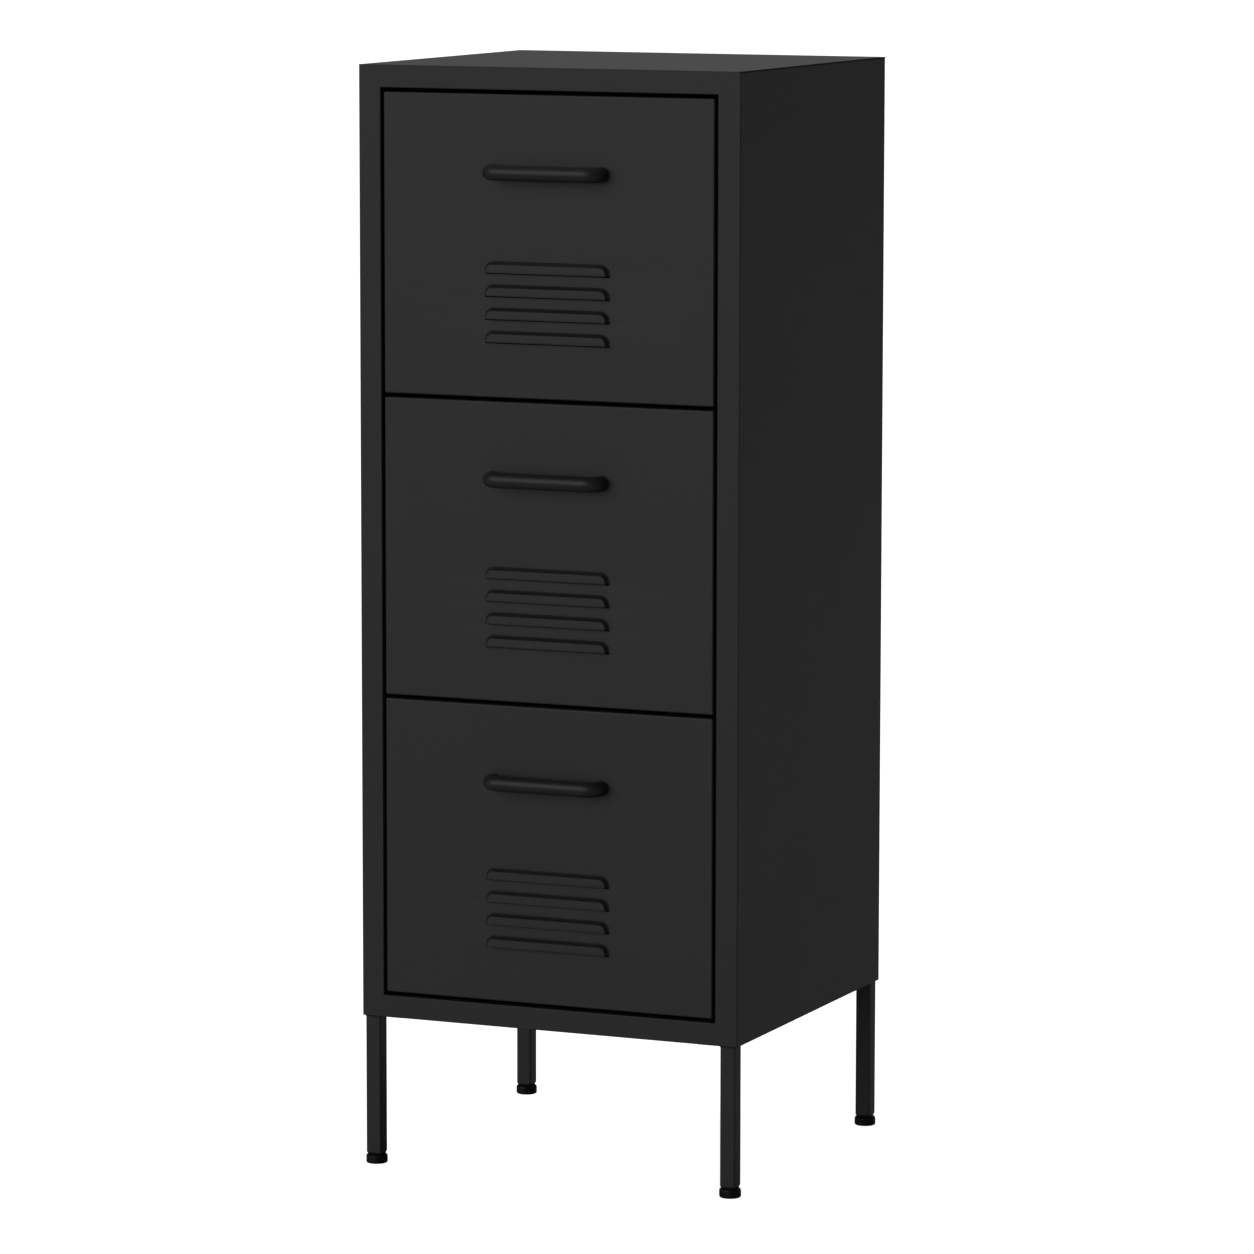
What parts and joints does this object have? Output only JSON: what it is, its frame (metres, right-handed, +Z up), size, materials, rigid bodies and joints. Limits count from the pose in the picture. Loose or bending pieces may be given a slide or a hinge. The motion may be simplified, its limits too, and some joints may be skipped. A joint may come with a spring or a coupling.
{
  "type": "tall chest of drawers",
  "caption": "Tall narrow steel chest with flush vented drawers on roller runners, bar handles and square tube legs on levelling feet.",
  "frame": {"origin": "on the floor, under the centre of the whole object's box, handles included", "axes": "+Z up, +X to the right seen from the front, and the front faces -Y"},
  "size_m": [0.381, 0.382, 1.032],
  "materials": {
    "black_powder_coat": "matte black powder coat with a very fine texture",
    "zinc_plated_steel": "bright zinc plate, lightly brushed",
    "white_nylon": "natural nylon, satin",
    "black_plastic": "moulded black plastic, satin"
  },
  "bodies": {
    "casing": {"front_frame": "black_powder_coat", "left_side_panel": "black_powder_coat", "right_side_panel": "black_powder_coat", "top_panel": "black_powder_coat", "bottom_panel": "black_powder_coat", "back_panel": "black_powder_coat", "left_front_upright": "black_powder_coat", "left_rear_upright": "black_powder_coat", "right_front_upright": "black_powder_coat", "right_rear_upright": "black_powder_coat", "front_left_leg": "black_powder_coat", "front_right_leg": "black_powder_coat", "rear_left_leg": "black_powder_coat", "rear_right_leg": "black_powder_coat", "front_left_leg_plug": "black_plastic", "front_right_leg_plug": "black_plastic", "rear_left_leg_plug": "black_plastic", "rear_right_leg_plug": "black_plastic", "drawer_1_left_casing_rail": "zinc_plated_steel", "drawer_1_right_casing_rail": "zinc_plated_steel", "drawer_2_left_casing_rail": "zinc_plated_steel", "drawer_2_right_casing_rail": "zinc_plated_steel", "drawer_3_left_casing_rail": "zinc_plated_steel", "drawer_3_right_casing_rail": "zinc_plated_steel"},
    "drawer_1": {"drawer_1_front": "black_powder_coat", "drawer_1_handle": "black_powder_coat", "drawer_1_tray": "black_powder_coat", "drawer_1_back": "black_powder_coat", "drawer_1_left_drawer_rail": "zinc_plated_steel", "drawer_1_right_drawer_rail": "zinc_plated_steel"},
    "drawer_2": {"drawer_2_front": "black_powder_coat", "drawer_2_handle": "black_powder_coat", "drawer_2_tray": "black_powder_coat", "drawer_2_back": "black_powder_coat", "drawer_2_left_drawer_rail": "zinc_plated_steel", "drawer_2_right_drawer_rail": "zinc_plated_steel"},
    "drawer_3": {"drawer_3_front": "black_powder_coat", "drawer_3_handle": "black_powder_coat", "drawer_3_tray": "black_powder_coat", "drawer_3_back": "black_powder_coat", "drawer_3_left_drawer_rail": "zinc_plated_steel", "drawer_3_right_drawer_rail": "zinc_plated_steel"},
    "drawer_1_left_casing_roller": {"drawer_1_left_casing_roller": "white_nylon"},
    "drawer_1_left_drawer_roller": {"drawer_1_left_drawer_roller": "white_nylon"},
    "drawer_1_right_casing_roller": {"drawer_1_right_casing_roller": "white_nylon"},
    "drawer_1_right_drawer_roller": {"drawer_1_right_drawer_roller": "white_nylon"},
    "drawer_2_left_casing_roller": {"drawer_2_left_casing_roller": "white_nylon"},
    "drawer_2_left_drawer_roller": {"drawer_2_left_drawer_roller": "white_nylon"},
    "drawer_2_right_casing_roller": {"drawer_2_right_casing_roller": "white_nylon"},
    "drawer_2_right_drawer_roller": {"drawer_2_right_drawer_roller": "white_nylon"},
    "drawer_3_left_casing_roller": {"drawer_3_left_casing_roller": "white_nylon"},
    "drawer_3_left_drawer_roller": {"drawer_3_left_drawer_roller": "white_nylon"},
    "drawer_3_right_casing_roller": {"drawer_3_right_casing_roller": "white_nylon"},
    "drawer_3_right_drawer_roller": {"drawer_3_right_drawer_roller": "white_nylon"},
    "front_left_foot": {"front_left_foot": "black_plastic"},
    "front_right_foot": {"front_right_foot": "black_plastic"},
    "rear_left_foot": {"rear_left_foot": "black_plastic"},
    "rear_right_foot": {"rear_right_foot": "black_plastic"}
  },
  "joints": [
    {"name": "drawer_1_slide", "type": "slide", "parent": "casing", "child": "drawer_1", "axis": [0, -1, 0], "range_m": [0, 0.24]},
    {"name": "drawer_2_slide", "type": "slide", "parent": "casing", "child": "drawer_2", "axis": [0, -1, 0], "range_m": [0, 0.24]},
    {"name": "drawer_3_slide", "type": "slide", "parent": "casing", "child": "drawer_3", "axis": [0, -1, 0], "range_m": [0, 0.24]},
    {"name": "drawer_1_left_casing_roller_spin", "type": "hinge", "parent": "casing", "child": "drawer_1_left_casing_roller", "pos_m": [-0.162, -0.14, 0.7523], "axis": [1, 0, 0], "continuous": true},
    {"name": "drawer_1_left_drawer_roller_spin", "type": "hinge", "parent": "drawer_1", "child": "drawer_1_left_drawer_roller", "pos_m": [-0.162, 0.138, 0.7523], "axis": [1, 0, 0], "continuous": true},
    {"name": "drawer_1_right_casing_roller_spin", "type": "hinge", "parent": "casing", "child": "drawer_1_right_casing_roller", "pos_m": [0.162, -0.14, 0.7523], "axis": [1, 0, 0], "continuous": true},
    {"name": "drawer_1_right_drawer_roller_spin", "type": "hinge", "parent": "drawer_1", "child": "drawer_1_right_drawer_roller", "pos_m": [0.162, 0.138, 0.7523], "axis": [1, 0, 0], "continuous": true},
    {"name": "drawer_2_left_casing_roller_spin", "type": "hinge", "parent": "casing", "child": "drawer_2_left_casing_roller", "pos_m": [-0.162, -0.14, 0.4708], "axis": [1, 0, 0], "continuous": true},
    {"name": "drawer_2_left_drawer_roller_spin", "type": "hinge", "parent": "drawer_2", "child": "drawer_2_left_drawer_roller", "pos_m": [-0.162, 0.138, 0.4708], "axis": [1, 0, 0], "continuous": true},
    {"name": "drawer_2_right_casing_roller_spin", "type": "hinge", "parent": "casing", "child": "drawer_2_right_casing_roller", "pos_m": [0.162, -0.14, 0.4708], "axis": [1, 0, 0], "continuous": true},
    {"name": "drawer_2_right_drawer_roller_spin", "type": "hinge", "parent": "drawer_2", "child": "drawer_2_right_drawer_roller", "pos_m": [0.162, 0.138, 0.4708], "axis": [1, 0, 0], "continuous": true},
    {"name": "drawer_3_left_casing_roller_spin", "type": "hinge", "parent": "casing", "child": "drawer_3_left_casing_roller", "pos_m": [-0.162, -0.14, 0.1893], "axis": [1, 0, 0], "continuous": true},
    {"name": "drawer_3_left_drawer_roller_spin", "type": "hinge", "parent": "drawer_3", "child": "drawer_3_left_drawer_roller", "pos_m": [-0.162, 0.138, 0.1893], "axis": [1, 0, 0], "continuous": true},
    {"name": "drawer_3_right_casing_roller_spin", "type": "hinge", "parent": "casing", "child": "drawer_3_right_casing_roller", "pos_m": [0.162, -0.14, 0.1893], "axis": [1, 0, 0], "continuous": true},
    {"name": "drawer_3_right_drawer_roller_spin", "type": "hinge", "parent": "drawer_3", "child": "drawer_3_right_drawer_roller", "pos_m": [0.162, 0.138, 0.1893], "axis": [1, 0, 0], "continuous": true},
    {"name": "front_left_foot_adjust", "type": "slide", "parent": "casing", "child": "front_left_foot", "axis": [0, 0, -1], "range_m": [0, 0.01]},
    {"name": "front_right_foot_adjust", "type": "slide", "parent": "casing", "child": "front_right_foot", "axis": [0, 0, -1], "range_m": [0, 0.01]},
    {"name": "rear_left_foot_adjust", "type": "slide", "parent": "casing", "child": "rear_left_foot", "axis": [0, 0, -1], "range_m": [0, 0.01]},
    {"name": "rear_right_foot_adjust", "type": "slide", "parent": "casing", "child": "rear_right_foot", "axis": [0, 0, -1], "range_m": [0, 0.01]}
  ],
  "couplings": [
    {"joint": "drawer_1_left_casing_roller_spin", "follows": "drawer_1_slide", "rad_per_m": 117.65},
    {"joint": "drawer_1_left_drawer_roller_spin", "follows": "drawer_1_slide", "rad_per_m": 117.65},
    {"joint": "drawer_1_right_casing_roller_spin", "follows": "drawer_1_slide", "rad_per_m": 117.65},
    {"joint": "drawer_1_right_drawer_roller_spin", "follows": "drawer_1_slide", "rad_per_m": 117.65},
    {"joint": "drawer_2_left_casing_roller_spin", "follows": "drawer_2_slide", "rad_per_m": 117.65},
    {"joint": "drawer_2_left_drawer_roller_spin", "follows": "drawer_2_slide", "rad_per_m": 117.65},
    {"joint": "drawer_2_right_casing_roller_spin", "follows": "drawer_2_slide", "rad_per_m": 117.65},
    {"joint": "drawer_2_right_drawer_roller_spin", "follows": "drawer_2_slide", "rad_per_m": 117.65},
    {"joint": "drawer_3_left_casing_roller_spin", "follows": "drawer_3_slide", "rad_per_m": 117.65},
    {"joint": "drawer_3_left_drawer_roller_spin", "follows": "drawer_3_slide", "rad_per_m": 117.65},
    {"joint": "drawer_3_right_casing_roller_spin", "follows": "drawer_3_slide", "rad_per_m": 117.65},
    {"joint": "drawer_3_right_drawer_roller_spin", "follows": "drawer_3_slide", "rad_per_m": 117.65}
  ]
}
